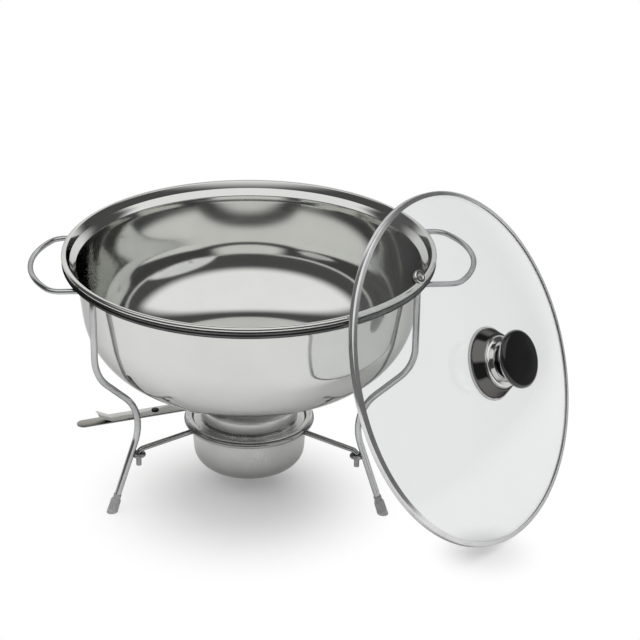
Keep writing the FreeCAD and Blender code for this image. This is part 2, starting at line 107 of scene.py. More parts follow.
# One material or world: its tree, and the one method that adds nodes to it
class Finish:
    def __init__(self, name, owner=None, **constants):
        self.owner = owner or bpy.data.materials.new(name)
        self.owner.use_nodes = True
        self.tree = self.owner.node_tree
        self.surface = self.tree.nodes.get("Principled BSDF")
        for key, value in constants.items():
            self.surface.inputs[socketNames[key]].default_value = value

    def node(self, kind, settings=None, sockets=None):
        made = self.tree.nodes.new(kind)
        for key, value in (settings or {}).items():
            if key == "stops":
                while len(made.color_ramp.elements) < len(value):
                    made.color_ramp.elements.new(0.5)
                for stop, (place, shade) in zip(made.color_ramp.elements, value):
                    stop.position = place
                    stop.color = shadeOf(shade)
            else:
                setattr(made, key, value)
        for key, value in (sockets or {}).items():
            self.feed(made.inputs[key], value)
        return {output.name: Signal(self, output) for output in made.outputs if output.enabled}

    def feed(self, socket, value):
        if isinstance(value, Signal):
            self.tree.links.new(value.socket, socket)
        else:
            socket.default_value = value

    def drive(self, **signals):
        for key, value in signals.items():
            self.feed(self.surface.inputs[socketNames[key]], value)

    def place(self):
        return self.node("ShaderNodeTexCoord")["Object"]

    def parts(self, vector):
        return self.node("ShaderNodeSeparateXYZ", None, {"Vector": vector})

    def joined(self, x, y, z):
        return self.node("ShaderNodeCombineXYZ", None, {"X": x, "Y": y, "Z": z})["Vector"]

    def noise(self, vector, scale, detail=3.0, roughness=0.5):
        made = self.node("ShaderNodeTexNoise", {"noise_dimensions": "3D"},
                         {"Vector": vector, "Scale": scale, "Detail": detail, "Roughness": roughness})
        return made.get("Fac") or made["Factor"]

    def wave(self, value):
        return self.node("ShaderNodeMath", {"operation": "SINE"}, {0: value})["Value"]

    def ramp(self, value, *stops):
        return self.node("ShaderNodeValToRGB", {"stops": stops}, {"Fac": value})["Color"]

    # From a finish's low colour to its high one, over the middle of a noise
    def tones(self, value, options):
        return self.ramp(value, (0.3, options["low"]), (0.7, options["high"]))

    def blend(self, factor, first, second):
        return self.node("ShaderNodeMix", {"data_type": "RGBA"}, {0: factor, 6: first, 7: second})["Result"]

    def smooth(self, value, low, high):
        return self.node("ShaderNodeMapRange", {"interpolation_type": "SMOOTHSTEP"},
                         {"Value": value, "From Min": low, "From Max": high})["Result"]

    # What is looked at straight or through glass, and what is looked at in a mirror
    def rays(self):
        path = self.node("ShaderNodeLightPath")
        return (path["Is Camera Ray"] + path["Is Transmission Ray"],
                path["Is Glossy Ray"] * (1 - path["Is Transmission Ray"]))

    def bump(self, height, strength, depth):
        return self.node("ShaderNodeBump", None,
                         {"Height": height, "Strength": strength, "Distance": depth})["Normal"]


socketNames = {
    "colour": "Base Color", "metallic": "Metallic", "roughness": "Roughness", "ior": "IOR",
    "normal": "Normal", "edgeTint": "Specular Tint", "coat": "Coat Weight",
    "coatRoughness": "Coat Roughness", "transmission": "Transmission Weight",
    "specular": "Specular IOR Level", "sheen": "Sheen Weight", "subsurface": "Subsurface Weight",
    "alpha": "Alpha", "glow": "Emission Color", "glowStrength": "Emission Strength",
}


# Finishes: noise sizes are per metre, bump depths in metres

markDepth = 0.0002
steelFinish = {"low": (0.68, 0.685, 0.66), "high": (0.73, 0.735, 0.71), "edge": 0.6, "roughness": 0.04,
               "smudges": 14.0, "smudgeGloss": 0.06, "lines": 300.0, "lineGloss": 0.03, "lineBump": 0.005}


# Spun steel: polish lines that run round the axis, with faint smudges over them
def makePolishedSteel(name, options):
    finish = Finish(name, metallic=1.0, edgeTint=shadeOf(options["edge"]))
    place = finish.place()
    axes = finish.parts(place)
    radius = (axes["X"] * axes["X"] + axes["Y"] * axes["Y"]) ** 0.5
    across = finish.joined(radius * options["lines"], axes["Z"] * options["lines"], 0.0)
    lines = finish.noise(across, 1.0, 1.0)
    smudges = finish.noise(place, options["smudges"], 4.0, 0.6)
    finish.drive(
        colour=finish.tones(smudges, options),
        roughness=smudges * options["smudgeGloss"] + lines * options["lineGloss"] + options["roughness"],
        normal=finish.bump(lines, options["lineBump"], markDepth))
    return finish.owner


chromeGrain = {"cloud": 60.0, "cloudGloss": 0.05, "grain": 900.0, "bump": 0.03, "depth": 0.0001}
wireChrome = {"low": (0.50, 0.505, 0.51), "high": (0.60, 0.605, 0.61), "roughness": 0.14,
              "edge": (0.25, 0.25, 0.26)}
# the stand's ring is given near-black chrome: painted shade and a painted dark reflection for the shade under
# the bowl's lip
paintedShadeRingChrome = {"low": 0.10, "high": 0.14, "roughness": 0.12, "edge": 0.1}
holderChrome = {"low": 0.34, "high": 0.43, "roughness": 0.12, "edge": 0.2}
bandChrome = {"low": 0.70, "high": 0.80, "roughness": 0.13, "edge": 0.3, "metal": 0.88}
screwSteel = {"low": 0.55, "high": 0.68, "roughness": 0.25, "edge": 0.8}


# Plating with a faint cloud in its gloss; a painted darkening, where given, darkens a part of the piece as a
# painted dark reflection
def makeChrome(name, options, paintedReflection=None):
    finish = Finish(name, metallic=options.get("metal", 1.0), edgeTint=shadeOf(options["edge"]))
    place = finish.place()
    cloud = finish.noise(place, chromeGrain["cloud"], 3.0)
    grain = finish.noise(place, chromeGrain["grain"], 2.0)
    colour = finish.tones(cloud, options)
    finish.drive(
        colour=paintedReflection(finish, colour, options) if paintedReflection else colour,
        roughness=cloud * chromeGrain["cloudGloss"] + options["roughness"],
        normal=finish.bump(grain, chromeGrain["bump"], chromeGrain["depth"]))
    return finish.owner


satinGrain = {"marks": (1500.0, 150.0), "bump": 0.01, "cloud": 35.0, "cloudGloss": 0.06}
# the base keys paint the cup darker towards its base, a painted shade; the cover keys paint the cover pale
# and duller, a painted light
satinFinish = {"low": (0.56, 0.56, 0.555), "high": (0.62, 0.62, 0.61), "roughness": 0.22, "markGloss": 0.03,
               "baseShadeFade": (0.014, 0.05), "baseShadeDepth": 0.75, "baseShadeColour": (0.12, 0.12, 0.115),
               "cover": (0.0612, 0.0620), "coverPaintedLightColour": (0.72, 0.72, 0.71), "coverMetal": 0.72,
               "coverRoughness": 0.12}
damperFinish = {"low": (0.42, 0.42, 0.41), "high": (0.52, 0.52, 0.505), "roughness": 0.11, "markGloss": 0.06}
stripFinish = {"low": (0.22, 0.215, 0.19), "high": (0.30, 0.295, 0.265), "roughness": 0.18,
               "markGloss": 0.08}


# Drawn sheet: fine upright draw marks and a duller, uneven gloss
def makeSatinSteel(name, options):
    finish = Finish(name, metallic=1.0)
    place = finish.place()
    axes = finish.parts(place)
    across, along = satinGrain["marks"]
    marks = finish.noise(finish.joined(axes["X"] * across, axes["Y"] * across, axes["Z"] * along), 1.0, 2.0)
    cloud = finish.noise(place, satinGrain["cloud"], 4.0, 0.6)
    colour = finish.tones(cloud, options)
    roughness = cloud * satinGrain["cloudGloss"] + marks * options["markGloss"] + options["roughness"]
    if "cover" in options:  # the cup is painted darker towards its base as painted shade, and the cover above it is painted pale and made duller as painted light where the bowl shades it
        base = 1 - finish.smooth(axes["Z"], *options["baseShadeFade"])
        cover = finish.smooth(axes["Z"], *options["cover"])
        colour = finish.blend(base * options["baseShadeDepth"], colour, shadeOf(options["baseShadeColour"]))
        colour = finish.blend(cover, colour, shadeOf(options["coverPaintedLightColour"]))
        roughness = roughness + cover * options["coverRoughness"]
        finish.drive(metallic=1 - cover * (1 - options["coverMetal"]))
    finish.drive(colour=colour, roughness=roughness, normal=finish.bump(marks, satinGrain["bump"], markDepth))
    return finish.owner


glassFinish = {"low": (0.80, 0.808, 0.808), "high": (0.812, 0.82, 0.82), "ior": 1.46,
               "haze": 22.0, "hazeStart": 0.55, "hazeFull": 0.8, "hazeRoughness": 0.02}


def makeClearGlass(name, options):
    finish = Finish(name, transmission=1.0, ior=options["ior"])
    haze = finish.noise(finish.place(), options["haze"], 4.0, 0.6)
    finish.drive(
        colour=finish.tones(haze, options),
        roughness=finish.ramp(haze, (options["hazeStart"], 0.0),
                              (options["hazeFull"], options["hazeRoughness"])))
    return finish.owner


plasticGrain = {"peel": 420.0, "bump": 0.05, "cloud": 40.0, "cloudGloss": 0.1}
gripFinish = {"low": 0.005, "high": 0.009, "roughness": 0.2, "coat": 0.8}
rivetFinish = {"low": 0.006, "high": (0.014, 0.013, 0.012), "roughness": 0.4, "coat": 0.0}


# Moulded black plastic with a fine orange-peel gloss
def makeGripPlastic(name, options):
    finish = Finish(name, coat=options["coat"], coatRoughness=0.06, specular=0.3)
    place = finish.place()
    peel = finish.noise(place, plasticGrain["peel"], 2.0)
    cloud = finish.noise(place, plasticGrain["cloud"], 3.0)
    finish.drive(
        colour=finish.tones(cloud, options),
        roughness=cloud * plasticGrain["cloudGloss"] + options["roughness"],
        normal=finish.bump(peel, plasticGrain["bump"], markDepth))
    return finish.owner


vinylGrain = {"grain": 700.0, "bump": 0.08, "cloud": 90.0, "cloudGloss": 0.15}
footFinish = {"low": (0.41, 0.415, 0.415), "high": (0.51, 0.515, 0.515), "roughness": 0.11, "clear": 0.45}
siliconeFinish = {"low": (0.80, 0.80, 0.79), "high": (0.88, 0.88, 0.87), "roughness": 0.25, "clear": 0.6}


# Soft clear vinyl or silicone, milky inside
def makeVinyl(name, options):
    finish = Finish(name, transmission=options["clear"], ior=1.4, subsurface=0.1)
    place = finish.place()
    cloud = finish.noise(place, vinylGrain["cloud"], 3.0)
    grain = finish.noise(place, vinylGrain["grain"], 2.0)
    finish.drive(
        colour=finish.tones(cloud, options),
        roughness=cloud * vinylGrain["cloudGloss"] + options["roughness"],
        normal=finish.bump(grain, vinylGrain["bump"], markDepth))
    return finish.owner


feltFinish = {"low": (0.42, 0.39, 0.34), "high": (0.62, 0.59, 0.52), "roughness": 0.85, "sheen": 0.3,
              "fibre": 900.0, "fibreShare": 0.6, "fibreGloss": 0.1, "cloud": 70.0,
              "bump": 0.6, "depth": 0.001}


def makeFelt(name, options):
    finish = Finish(name, sheen=options["sheen"])
    place = finish.place()
    fibre = finish.noise(place, options["fibre"], 5.0, 0.7)
    cloud = finish.noise(place, options["cloud"], 3.0)
    share = options["fibreShare"]
    finish.drive(
        colour=finish.tones(fibre * share + cloud * (1 - share), options),
        roughness=fibre * options["fibreGloss"] + options["roughness"],
        normal=finish.bump(fibre, options["bump"], options["depth"]))
    return finish.owner


gauzeFinish = {"low": 0.05, "high": (0.6, 0.58, 0.55), "gap": 0.15, "full": 0.7, "pitch": 1.4,
               "roughness": 0.55, "strandGloss": 0.2, "bump": 0.8, "depth": 0.0006}


# Woven wire cloth: two sets of strands that pass over and under, with the openings between them painted near
# black as painted shade
def makeGauze(name, options):
    finish = Finish(name, metallic=1.0)
    axes = finish.parts(finish.place())
    turn = math.pi / (options["pitch"] * mm)
    across, along = finish.wave(axes["X"] * turn), finish.wave(axes["Y"] * turn)
    over = across * along * 0.5 + 0.5
    strand = (across * across) * over + (along * along) * (1 - over)
    finish.drive(
        colour=finish.ramp(strand, (options["gap"], options["low"]), (options["full"], options["high"])),
        roughness=options["roughness"] - strand * options["strandGloss"],
        normal=finish.bump(strand, options["bump"], options["depth"]))
    return finish.owner


finishes = {
    "bowl_steel": makePolishedSteel("polishedBowlSteel", steelFinish),
    "chromed_wire": makeChrome("chromedWire", wireChrome),
    "ring_chrome": makeChrome("shadedRingChrome", paintedShadeRingChrome),
    "holder_chrome": makeChrome("holderChrome", holderChrome),
    "foot_plastic": makeVinyl("footVinyl", footFinish),
    "burner_steel": makeSatinSteel("drawnBurnerSteel", satinFinish),
    "strip_steel": makeSatinSteel("stripSteel", damperFinish),
    "tongue_steel": makeSatinSteel("darkStripSteel", stripFinish),
    "rivet_black": makeGripPlastic("blackenedRivet", rivetFinish),
    "fuel_pad": makeFelt("wickFelt", feltFinish),
    "gauze_steel": makeGauze("wickGauze", gauzeFinish),
    "lid_glass": makeClearGlass("lidGlass", glassFinish),
    "band_steel": makeChrome("lidBandSteel", bandChrome),
    "knob_black": makeGripPlastic("knobBlack", gripFinish),
    "clear_silicone": makeVinyl("clearSilicone", siliconeFinish),
    "screw_steel": makeChrome("plainScrewSteel", screwSteel),
}
print("finishes made:", len(finishes))


# Modelling helpers

def roundOff(bm, geom, offset, segments, affect):
    bmesh.ops.bevel(bm, geom=geom, offset=offset, offset_type="OFFSET", segments=segments, profile=0.5,
                    affect=affect, material=-1)


# A wire in the XZ plane from (x, z, bend) corners, each bend rounded to that radius.
# It is left open where it starts on the Z axis.
def section(corners, grain=6.0, bendSteps=0.45):
    bm = bmesh.new()
    verts = [bm.verts.new((corner[0], 0, corner[1])) for corner in corners]
    closed = corners[0][0] > 0
    following = verts[1:] + verts[:1] if closed else verts[1:]
    for pair in zip(verts, following):
        bm.edges.new(pair)
    for vert, corner in zip(verts, corners):
        if len(corner) > 2:
            ends = [edge.other_vert(vert).co - vert.co for edge in vert.link_edges]
            halfTurn = (math.pi - ends[0].angle(ends[1])) / 2
            steps = max(3, math.ceil(corner[2] * bendSteps))
            roundOff(bm, [vert], corner[2] * math.tan(halfTurn), steps, "VERTICES")
    bmesh.ops.remove_doubles(bm, verts=bm.verts[:], dist=mergeGap)
    for edge in bm.edges[:]:
        cuts = math.ceil(edge.calc_length() / grain) - 1
        if cuts > 0:
            bmesh.ops.subdivide_edges(bm, edges=[edge], cuts=cuts)
    return bm


# A full turn of a section about the Z axis
def turned(bm, steps=160):
    bmesh.ops.spin(bm, geom=bm.verts[:] + bm.edges[:], cent=(0, 0, 0), axis=up, angle=fullTurn, steps=steps,
                   use_merge=True)
    bmesh.ops.remove_doubles(bm, verts=bm.verts[:], dist=mergeGap)
    bmesh.ops.recalc_face_normals(bm, faces=bm.faces[:])
    return bm


# A ring of round wire about the Z axis
def wireRing(radius, height, wire, steps=160, sides=24):
    bm = bmesh.new()
    toSection = Matrix.Translation((radius, 0, height)) @ Matrix.Rotation(math.pi / 2, 4, "X")
    bmesh.ops.create_circle(bm, segments=sides, radius=wire / 2, matrix=toSection)
    return turned(bm, steps)


def startWire(bm, point, direction, wire, sides=20):
    facing = Matrix.Translation(point) @ direction.to_track_quat("Z", "Y").to_matrix().to_4x4()
    made = bmesh.ops.create_circle(bm, segments=sides, radius=wire / 2, matrix=facing)
    return list({edge for vert in made["verts"] for edge in vert.link_edges})


def runWire(bm, rim, travel, grain=12.0):
    steps = max(1, math.ceil(travel.length / grain))
    for _ in range(steps):
        made = bmesh.ops.extrude_edge_only(bm, edges=rim)["geom"]
        verts = [item for item in made if isinstance(item, bmesh.types.BMVert)]
        bmesh.ops.translate(bm, verts=verts, vec=travel / steps)
        rim = [item for item in made if isinstance(item, bmesh.types.BMEdge)
               and item.verts[0] in verts and item.verts[1] in verts]
    return rim


def bendWire(bm, rim, centre, axis, turn, stepTurn=0.06):
    verts = list({vert for edge in rim for vert in edge.verts})
    made = bmesh.ops.spin(bm, geom=verts + rim, cent=centre, axis=axis, angle=turn,
                          steps=max(4, math.ceil(abs(turn) / stepTurn)))["geom_last"]
    return [item for item in made if isinstance(item, bmesh.types.BMEdge)]


# Closes both ends of a wire and rounds the cut
def endWire(bm, cutRound=0.5):
    made = bmesh.ops.holes_fill(bm, edges=bm.edges[:], sides=0)["faces"]
    bmesh.ops.recalc_face_normals(bm, faces=bm.faces[:])
    roundOff(bm, list({edge for face in made for edge in face.edges}), cutRound, 3, "EDGES")
    return bm


# A round wire along straight runs with a bend at each corner
def bentWire(points, bends, wire):
    bm = bmesh.new()
    here = points[0]
    rim = startWire(bm, here, points[1] - here, wire)
    for corner, after, bend in zip(points[1:], points[2:], bends):
        back = (here - corner).normalized()
        ahead = (after - corner).normalized()
        halfTurn = (math.pi - back.angle(ahead)) / 2
        enter = corner + back * bend * math.tan(halfTurn)
        rim = runWire(bm, rim, enter - here)
        centre = corner + (back + ahead).normalized() * bend / math.cos(halfTurn)
        rim = bendWire(bm, rim, centre, ahead.cross(back), 2 * halfTurn)
        here = corner + ahead * bend * math.tan(halfTurn)
    runWire(bm, rim, points[-1] - here)
    return endWire(bm)


# A flat plate from closed outlines, the first of them outside
def plate(outlines, thickness):
    bm = bmesh.new()
    for outline in outlines:
        outline(bm)
    bmesh.ops.remove_doubles(bm, verts=bm.verts[:], dist=2 * mergeGap)
    flat = bmesh.ops.triangle_fill(bm, edges=bm.edges[:], use_beauty=True, normal=up)["geom"]
    faces = [item for item in flat if isinstance(item, bmesh.types.BMFace)]
    raised = bmesh.ops.extrude_face_region(bm, geom=faces)["geom"]
    verts = [item for item in raised if isinstance(item, bmesh.types.BMVert)]
    bmesh.ops.translate(bm, verts=verts, vec=up * thickness)
    bmesh.ops.recalc_face_normals(bm, faces=bm.faces[:])
    return bm


def easeEdges(bm, ease, least=60.0):
    sharp = [edge for edge in bm.edges
             if edge.is_manifold and edge.calc_face_angle(0) > math.radians(least)]
    roundOff(bm, sharp, ease, 2, "EDGES")


# Draws an outline: a straight run to a point, or an arc about a centre
def lineTo(bm, vert, x, y):
    there = bm.verts.new((x, y, 0))
    bm.edges.new((vert, there))
    return there


def arcTo(bm, vert, centre, turn, steps, axis=up):
    made = bmesh.ops.spin(bm, geom=[vert], cent=centre, axis=axis, angle=turn, steps=steps)["geom_last"]
    return next(item for item in made if isinstance(item, bmesh.types.BMVert))


def circleAt(x, radius, steps):
    def draw(bm):
        bmesh.ops.create_circle(bm, segments=steps, radius=radius, matrix=Matrix.Translation((x, 0, 0)))
    return draw


def spread(angle):
    return Matrix.Rotation(math.radians(angle), 4, "Z")


slotOf = {row["node"]: row["material_slot"] for row in frame["record"]["subparts"]}


# Turns a drawn mesh into a piece on its node's body, in its node's slot
def piece(name, bm, node, placing=None, creaseAngle=35.0):
    bm.transform(Matrix.Scale(mm, 4) @ (placing or Matrix.Identity(4)))
    for face in bm.faces:
        face.smooth = True
    for edge in bm.edges:
        edge.smooth = not edge.is_manifold or edge.calc_face_angle(0) < math.radians(creaseAngle)
    mesh = bpy.data.meshes.new(name)
    bm.to_mesh(mesh)
    bm.free()
    obj = bpy.data.objects.new(name, mesh)
    bpy.context.scene.collection.objects.link(obj)
    cadNode = frame["nodes"][node]
    slot = slotOf[node]
    mesh.materials.append(finishes[slot])
    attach(obj, cadNode["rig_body"])
    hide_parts(node)
    return obj


# A piece of revolution from its dictionary of profile, grain and steps
def turnedPiece(name, shape, node, placing=None):
    return piece(name, turned(section(shape["profile"], shape["grain"]), shape["steps"]), node, placing)


# Bowl

bowl = {"rim": 155.0, "top": 215.0, "low": 103.5, "sheet": 0.8, "cornerBend": 66.0,
        "beadLow": 210.8, "beadBend": 2.09, "panel": 57.05, "panelRise": 1.5,
        "outerCorner": 132.881, "outerStep": [(143.6, 203.8, 2.0), (149.0, 208.3, 0.8), (150.12, 210.8, 0.4)],
        "innerCorner": 132.162, "innerStep": [(151.12, 215.0, 1.2), (148.346, 208.796, 1.2),
                                              (142.839, 204.207, 1.6)]}


# Half of the base: the raised panel in its middle, then the flat ring round it
def baseLine(height):
    rise, panel = bowl["panelRise"], bowl["panel"]
    return [(0, height + rise), (panel, height + rise, rise), (panel + rise, height, rise)]


def makeBowl():
    low, floor, rim, bend = bowl["low"], bowl["low"] + bowl["sheet"], bowl["rim"], bowl["cornerBend"]
    underside = baseLine(low) + [(bowl["outerCorner"], low, bend)] + bowl["outerStep"]
    bead = [(rim, bowl["beadLow"], bowl["beadBend"]), (rim, bowl["top"], bowl["beadBend"])]
    inside = bowl["innerStep"] + [(bowl["innerCorner"], floor, bend - bowl["sheet"])] + baseLine(floor)[::-1]
    piece("bowlShell", turned(section(underside + bead + inside), 200), "bowl")


makeBowl()
print("bowl made")


# Stand

standRing = {"wire": 5.5, "ring": 152.0, "height": 207.75}
leg = {"angles": {"front_left": 208.3, "front_right": 328.3, "rear": 88.3},
       "top": [(150.0, 206.0), (150.0, 138.0)], "foot": [(99.0, 87.0), (131.05, 2.5)],
       "twist": 5.4, "bends": [40.0, 44.0]}  # the welded tops stand ahead of the feet by the twist
foot = {"ground": (132.0, 0.0), "soleRound": 0.6,
        "profile": [(0, -6.0), (4.55, -6.0), (4.55, 1.7, 0.3), (4.3, 2.2, 0.3), (4.5, 2.7, 0.3),
                    (4.3, 11.4, 1.6), (3.3, 13.2, 1.2), (3.3, 17.0, 0.4), (2.77, 17.0, 0.3),
                    (2.77, 15.5), (0, 15.5)], "grain": 2.0, "steps": 48}
handle = {"wire": 4.5, "height": 203.25, "halfWidth": 54.5, "tail": 139.9, "cornerBend": 14.0,
          "frontBend": 86.0, "ring": 152.0, "leftReach": 28.5, "rightReach": 34.5, "turn": 2.0}
holder = {"wire": 4.5, "ring": 53.5, "height": 57.0, "bend": 4.5,
          "arm": [(54.0, 57.0), (105.8, 52.8), (105.8, 38.3)]}
eye = {"wire": 3.5, "stem": 3.3, "ring": 4.3, "height": 48.5, "centre": 105.8, "stemEnd": 113.6}


def onPlane(points):
    return [Vector((x, 0, z)) for x, z in points]


# A sleeve along the leg's last run, cut off level with the floor
def makeFoot(name, node, angle):
    waist, ground = onPlane([leg["foot"][0], foot["ground"]])
    facing = (waist - ground).normalized().to_track_quat("Z", "Y").to_matrix().to_4x4()
    sleeve = turned(section(foot["profile"], foot["grain"]), foot["steps"])
    sleeve.transform(Matrix.Translation(ground) @ facing)
    bmesh.ops.bisect_plane(sleeve, geom=sleeve.verts[:] + sleeve.edges[:] + sleeve.faces[:], dist=mergeGap,
                           plane_co=(0, 0, 0), plane_no=up, clear_inner=True)
    sole = bmesh.ops.holes_fill(sleeve, edges=sleeve.edges[:], sides=0)["faces"]
    bmesh.ops.recalc_face_normals(sleeve, faces=sleeve.faces[:])
    roundOff(sleeve, list({edge for face in sole for edge in face.edges}), foot["soleRound"], 4, "EDGES")
    piece(name, sleeve, node, spread(angle))


def makeEye(name, node, angle):
    loop = wireRing(eye["ring"], eye["height"], eye["wire"], 48, 20)
    loop.transform(Matrix.Translation((eye["centre"], 0, 0)))
    start = Vector((eye["centre"] + eye["ring"], 0, eye["height"]))
    out = Vector((1, 0, 0))
    rim = startWire(loop, start, out, eye["stem"], 16)
    runWire(loop, rim, out * (eye["stemEnd"] - start.x))
    piece(name, endWire(loop, 0.3), node, spread(angle))


def makeHandle(name, node, angle, reach):
    bm = bmesh.new()
    half, height, bend = handle["halfWidth"], handle["height"], handle["cornerBend"]
    cornerY = half - bend
    frontX = handle["ring"] + reach - handle["frontBend"]
    join = math.asin(cornerY / (handle["frontBend"] - bend))
    cornerX = frontX + cornerY / math.tan(join)
    rim = startWire(bm, Vector((handle["tail"], -half, height)), Vector((1, 0, 0)), handle["wire"])
    straight = Vector((cornerX - handle["tail"], 0, 0))
    rim = runWire(bm, rim, straight)
    rim = bendWire(bm, rim, (cornerX, -cornerY, height), up, math.pi / 2 - join)
    rim = bendWire(bm, rim, (frontX, 0, height), up, 2 * join, 0.03)
    rim = bendWire(bm, rim, (cornerX, cornerY, height), up, math.pi / 2 - join)
    runWire(bm, rim, -straight)
    piece(name, endWire(bm), node, spread(angle + handle["turn"]))


piece("standRing", wireRing(standRing["ring"], standRing["height"], standRing["wire"], 200), "stand_ring")
piece("burnerRing", wireRing(holder["ring"], holder["height"], holder["wire"], 120), "burner_ring")
for place, angle in leg["angles"].items():
    side = "".join(word.title() for word in place.split("_"))
    top = [spread(leg["twist"]) @ point for point in onPlane(leg["top"])]
    legWire = bentWire(top + onPlane(leg["foot"]), leg["bends"], standRing["wire"])
    piece("leg" + side, legWire, "leg_" + place, spread(angle))
    makeFoot("foot" + side, "foot_" + place, angle)
    arm = bentWire(onPlane(holder["arm"]), [holder["bend"]], holder["wire"])
    piece("burnerArm" + side, arm, "burner_arm_" + place, spread(angle))
    makeEye("eye" + side, "eye_" + place, angle)
makeHandle("handleRight", "handle_right", 0, handle["rightReach"])
makeHandle("handleLeft", "handle_left", 180, handle["leftReach"])
print("stand made")


# Burner, drawn with its strip along X and then turned

burnerAngle = 199.0
cup = {"profile": [(0, 16.05), (46.55, 16.05, 15.0), (49.75, 59.55, 0.9), (54.2, 59.55, 0.88),
                   (54.2, 61.35, 0.88), (52.7, 61.3, 0.5), (52.4, 60.25, 0.4), (49.1, 60.25, 1.2),
                   (45.9, 16.75, 14.3), (0, 16.75)], "grain": 3.0, "steps": 120}
cover = {"profile": [(48.37, 51.05), (48.37, 58.05, 1.5), (41.37, 58.05, 0.8), (41.37, 72.05, 1.8),
                     (28.67, 72.05, 0.8), (28.67, 75.75), (27.97, 75.75), (27.97, 71.35, 1.5),
                     (40.67, 71.35, 1.1), (40.67, 57.35, 1.5), (47.67, 57.35, 0.8), (47.67, 51.05)],
         "grain": 3.0, "steps": 120}
strip = {"width": 12.0, "plate": 1.2, "height": 75.75, "ring": 31.17, "hole": 17.0, "length": 152.0,
         "slot": (44.0, 84.0, 2.3), "ease": 0.25}
damper = {"height": 77.25, "sheet": 1.0, "disc": 20.5, "out": 40.0, "tabStart": 121.0, "tabFlat": 2.0,
          "tabSlope": 11.0, "tabRise": 5.5, "ease": 0.22}
rivet = {"profile": [(0, 74.25), (3.2, 74.25, 0.3), (3.2, 75.45), (2.0, 75.45), (2.0, 77.25), (2.2, 77.25),
                     (2.2, 78.25), (3.2, 78.25), (3.2, 79.45, 0.9), (0, 79.45)],
         "grain": 2.0, "steps": 40, "out": 84.0}
pad = {"profile": [(0, 16.75), (33.0, 16.8, 2.0), (45.0, 18.6, 10.0), (47.5, 42.7, 2.5), (0, 42.7)],
       "grain": 2.0, "steps": 96}
gauze = {"profile": [(0, 42.75), (47.4, 42.75, 0.35), (47.4, 43.55, 0.35), (0, 43.55)],
         "grain": 3.0, "steps": 96}
onBurner = spread(burnerAngle)


def drawStrip(bm):
    half, ring = strip["width"] / 2, strip["ring"]
    joint = math.asin(half / ring)
    end = strip["length"] - half
    start = bm.verts.new((ring * math.cos(joint), half, 0))
    here = lineTo(bm, start, end, half)
    here = arcTo(bm, here, (end, 0, 0), -math.pi, 20)
    here = lineTo(bm, here, ring * math.cos(joint), -half)
    arcTo(bm, here, (0, 0, 0), 2 * joint - fullTurn, 90)


def drawSlot(bm):
    near, far, half = strip["slot"]
    start = bm.verts.new((near, half, 0))
    here = lineTo(bm, start, far, half)
    here = arcTo(bm, here, (far, 0, 0), -math.pi, 10)
    here = lineTo(bm, here, near, -half)
    arcTo(bm, here, (near, 0, 0), -math.pi, 10)


def makeStrip():
    bm = plate([drawStrip, circleAt(0, strip["hole"], 72), drawSlot], strip["plate"])
    easeEdges(bm, strip["ease"])
    piece("burnerStrip", bm, "burner_handle", onBurner @ Matrix.Translation(up * strip["height"]))


def drawDamper(bm):
    half, out, disc = strip["width"] / 2, damper["out"], damper["disc"]
    joint = math.asin(half / disc)
    start = bm.verts.new((out + disc * math.cos(joint), half, 0))
    here = lineTo(bm, start, damper["tabStart"], half)
    here = lineTo(bm, here, damper["tabStart"], -half)
    here = lineTo(bm, here, out + disc * math.cos(joint), -half)
    arcTo(bm, here, (out, 0, 0), 2 * joint - fullTurn, 64)


# The damper's thumb tab is pulled out of the plate's end face, first level and then rising
def makeDamper():
    bm = plate([drawDamper], damper["sheet"])
    for travel in ((damper["tabFlat"], 0, 0), (damper["tabSlope"], 0, damper["tabRise"])):
        end = max(bm.faces, key=lambda face: face.calc_center_median().x)
        raised = bmesh.ops.extrude_face_region(bm, geom=[end])["geom"]
        bmesh.ops.delete(bm, geom=[end], context="FACES_ONLY")
        verts = [item for item in raised if isinstance(item, bmesh.types.BMVert)]
        bmesh.ops.translate(bm, verts=verts, vec=travel)
    bmesh.ops.recalc_face_normals(bm, faces=bm.faces[:])
    easeEdges(bm, damper["ease"])
    piece("damperPlate", bm, "damper_plate", onBurner @ Matrix.Translation(up * damper["height"]))


turnedPiece("burnerCup", cup, "burner_cup", onBurner)
turnedPiece("burnerCover", cover, "burner_cover", onBurner)
makeStrip()
makeDamper()
turnedPiece("guideRivet", rivet, "guide_rivet", onBurner @ Matrix.Translation((rivet["out"], 0, 0)))
turnedPiece("wickPad", pad, "fuel_pad", onBurner)
turnedPiece("wickGauze", gauze, "pad_gauze", onBurner)
print("burner made")


# Lid, drawn lying with its dome up and then leaned where the washer is

lid = {"edge": 146.3, "domeInner": 440.574, "glass": 3.2, "domeCentre": -415.574, "hole": 4.0, "ease": 0.5,
       "azimuth": -36.5, "lean": 24.2, "washerHeight": 23.3}  # the washer's middle above the rim plane
vent = {"across": -38.4, "up": 91.5, "hole": 3.4, "drill": 16.0, "drillHeight": 27.0}
gasket = {"inner": 4.0, "outer": 30.5, "thickness": 1.2, "ease": 0.3}
band = {"profile": [(142.9, 4.848), (146.5, 3.591, 0.3), (146.5, -0.2, 0.3), (143.8, -0.2), (143.8, -0.7),
                    (147.0, -0.7, 0.8), (147.0, 3.946, 0.8), (143.065, 5.32)], "grain": 1.5, "steps": 200}
eyelet = {"profile": [(2.6, 24.0), (5.2, 24.0, 0.5), (5.2, 25.0), (3.4, 25.0), (3.4, 28.2), (5.2, 28.2),
                      (5.2, 29.2, 0.7), (2.6, 29.2, 0.8)], "grain": 1.0, "steps": 48}
bell = {"profile": [(28.8, 28.467, 0.2), (28.8, 30.467, 0.9), (23.5, 38.5, 0.9), (21.5, 38.5, 0.5),
                    (21.5, 40.5, 1.2), (17.0, 42.5, 1.0), (2.5, 42.5), (2.5, 41.5), (16.788, 41.5, 0.6),
                    (20.5, 39.85, 0.6), (20.5, 37.5, 0.4), (22.962, 37.5, 0.6), (27.8, 30.167, 0.6),
                    (27.8, 28.467)], "grain": 1.0, "steps": 120}
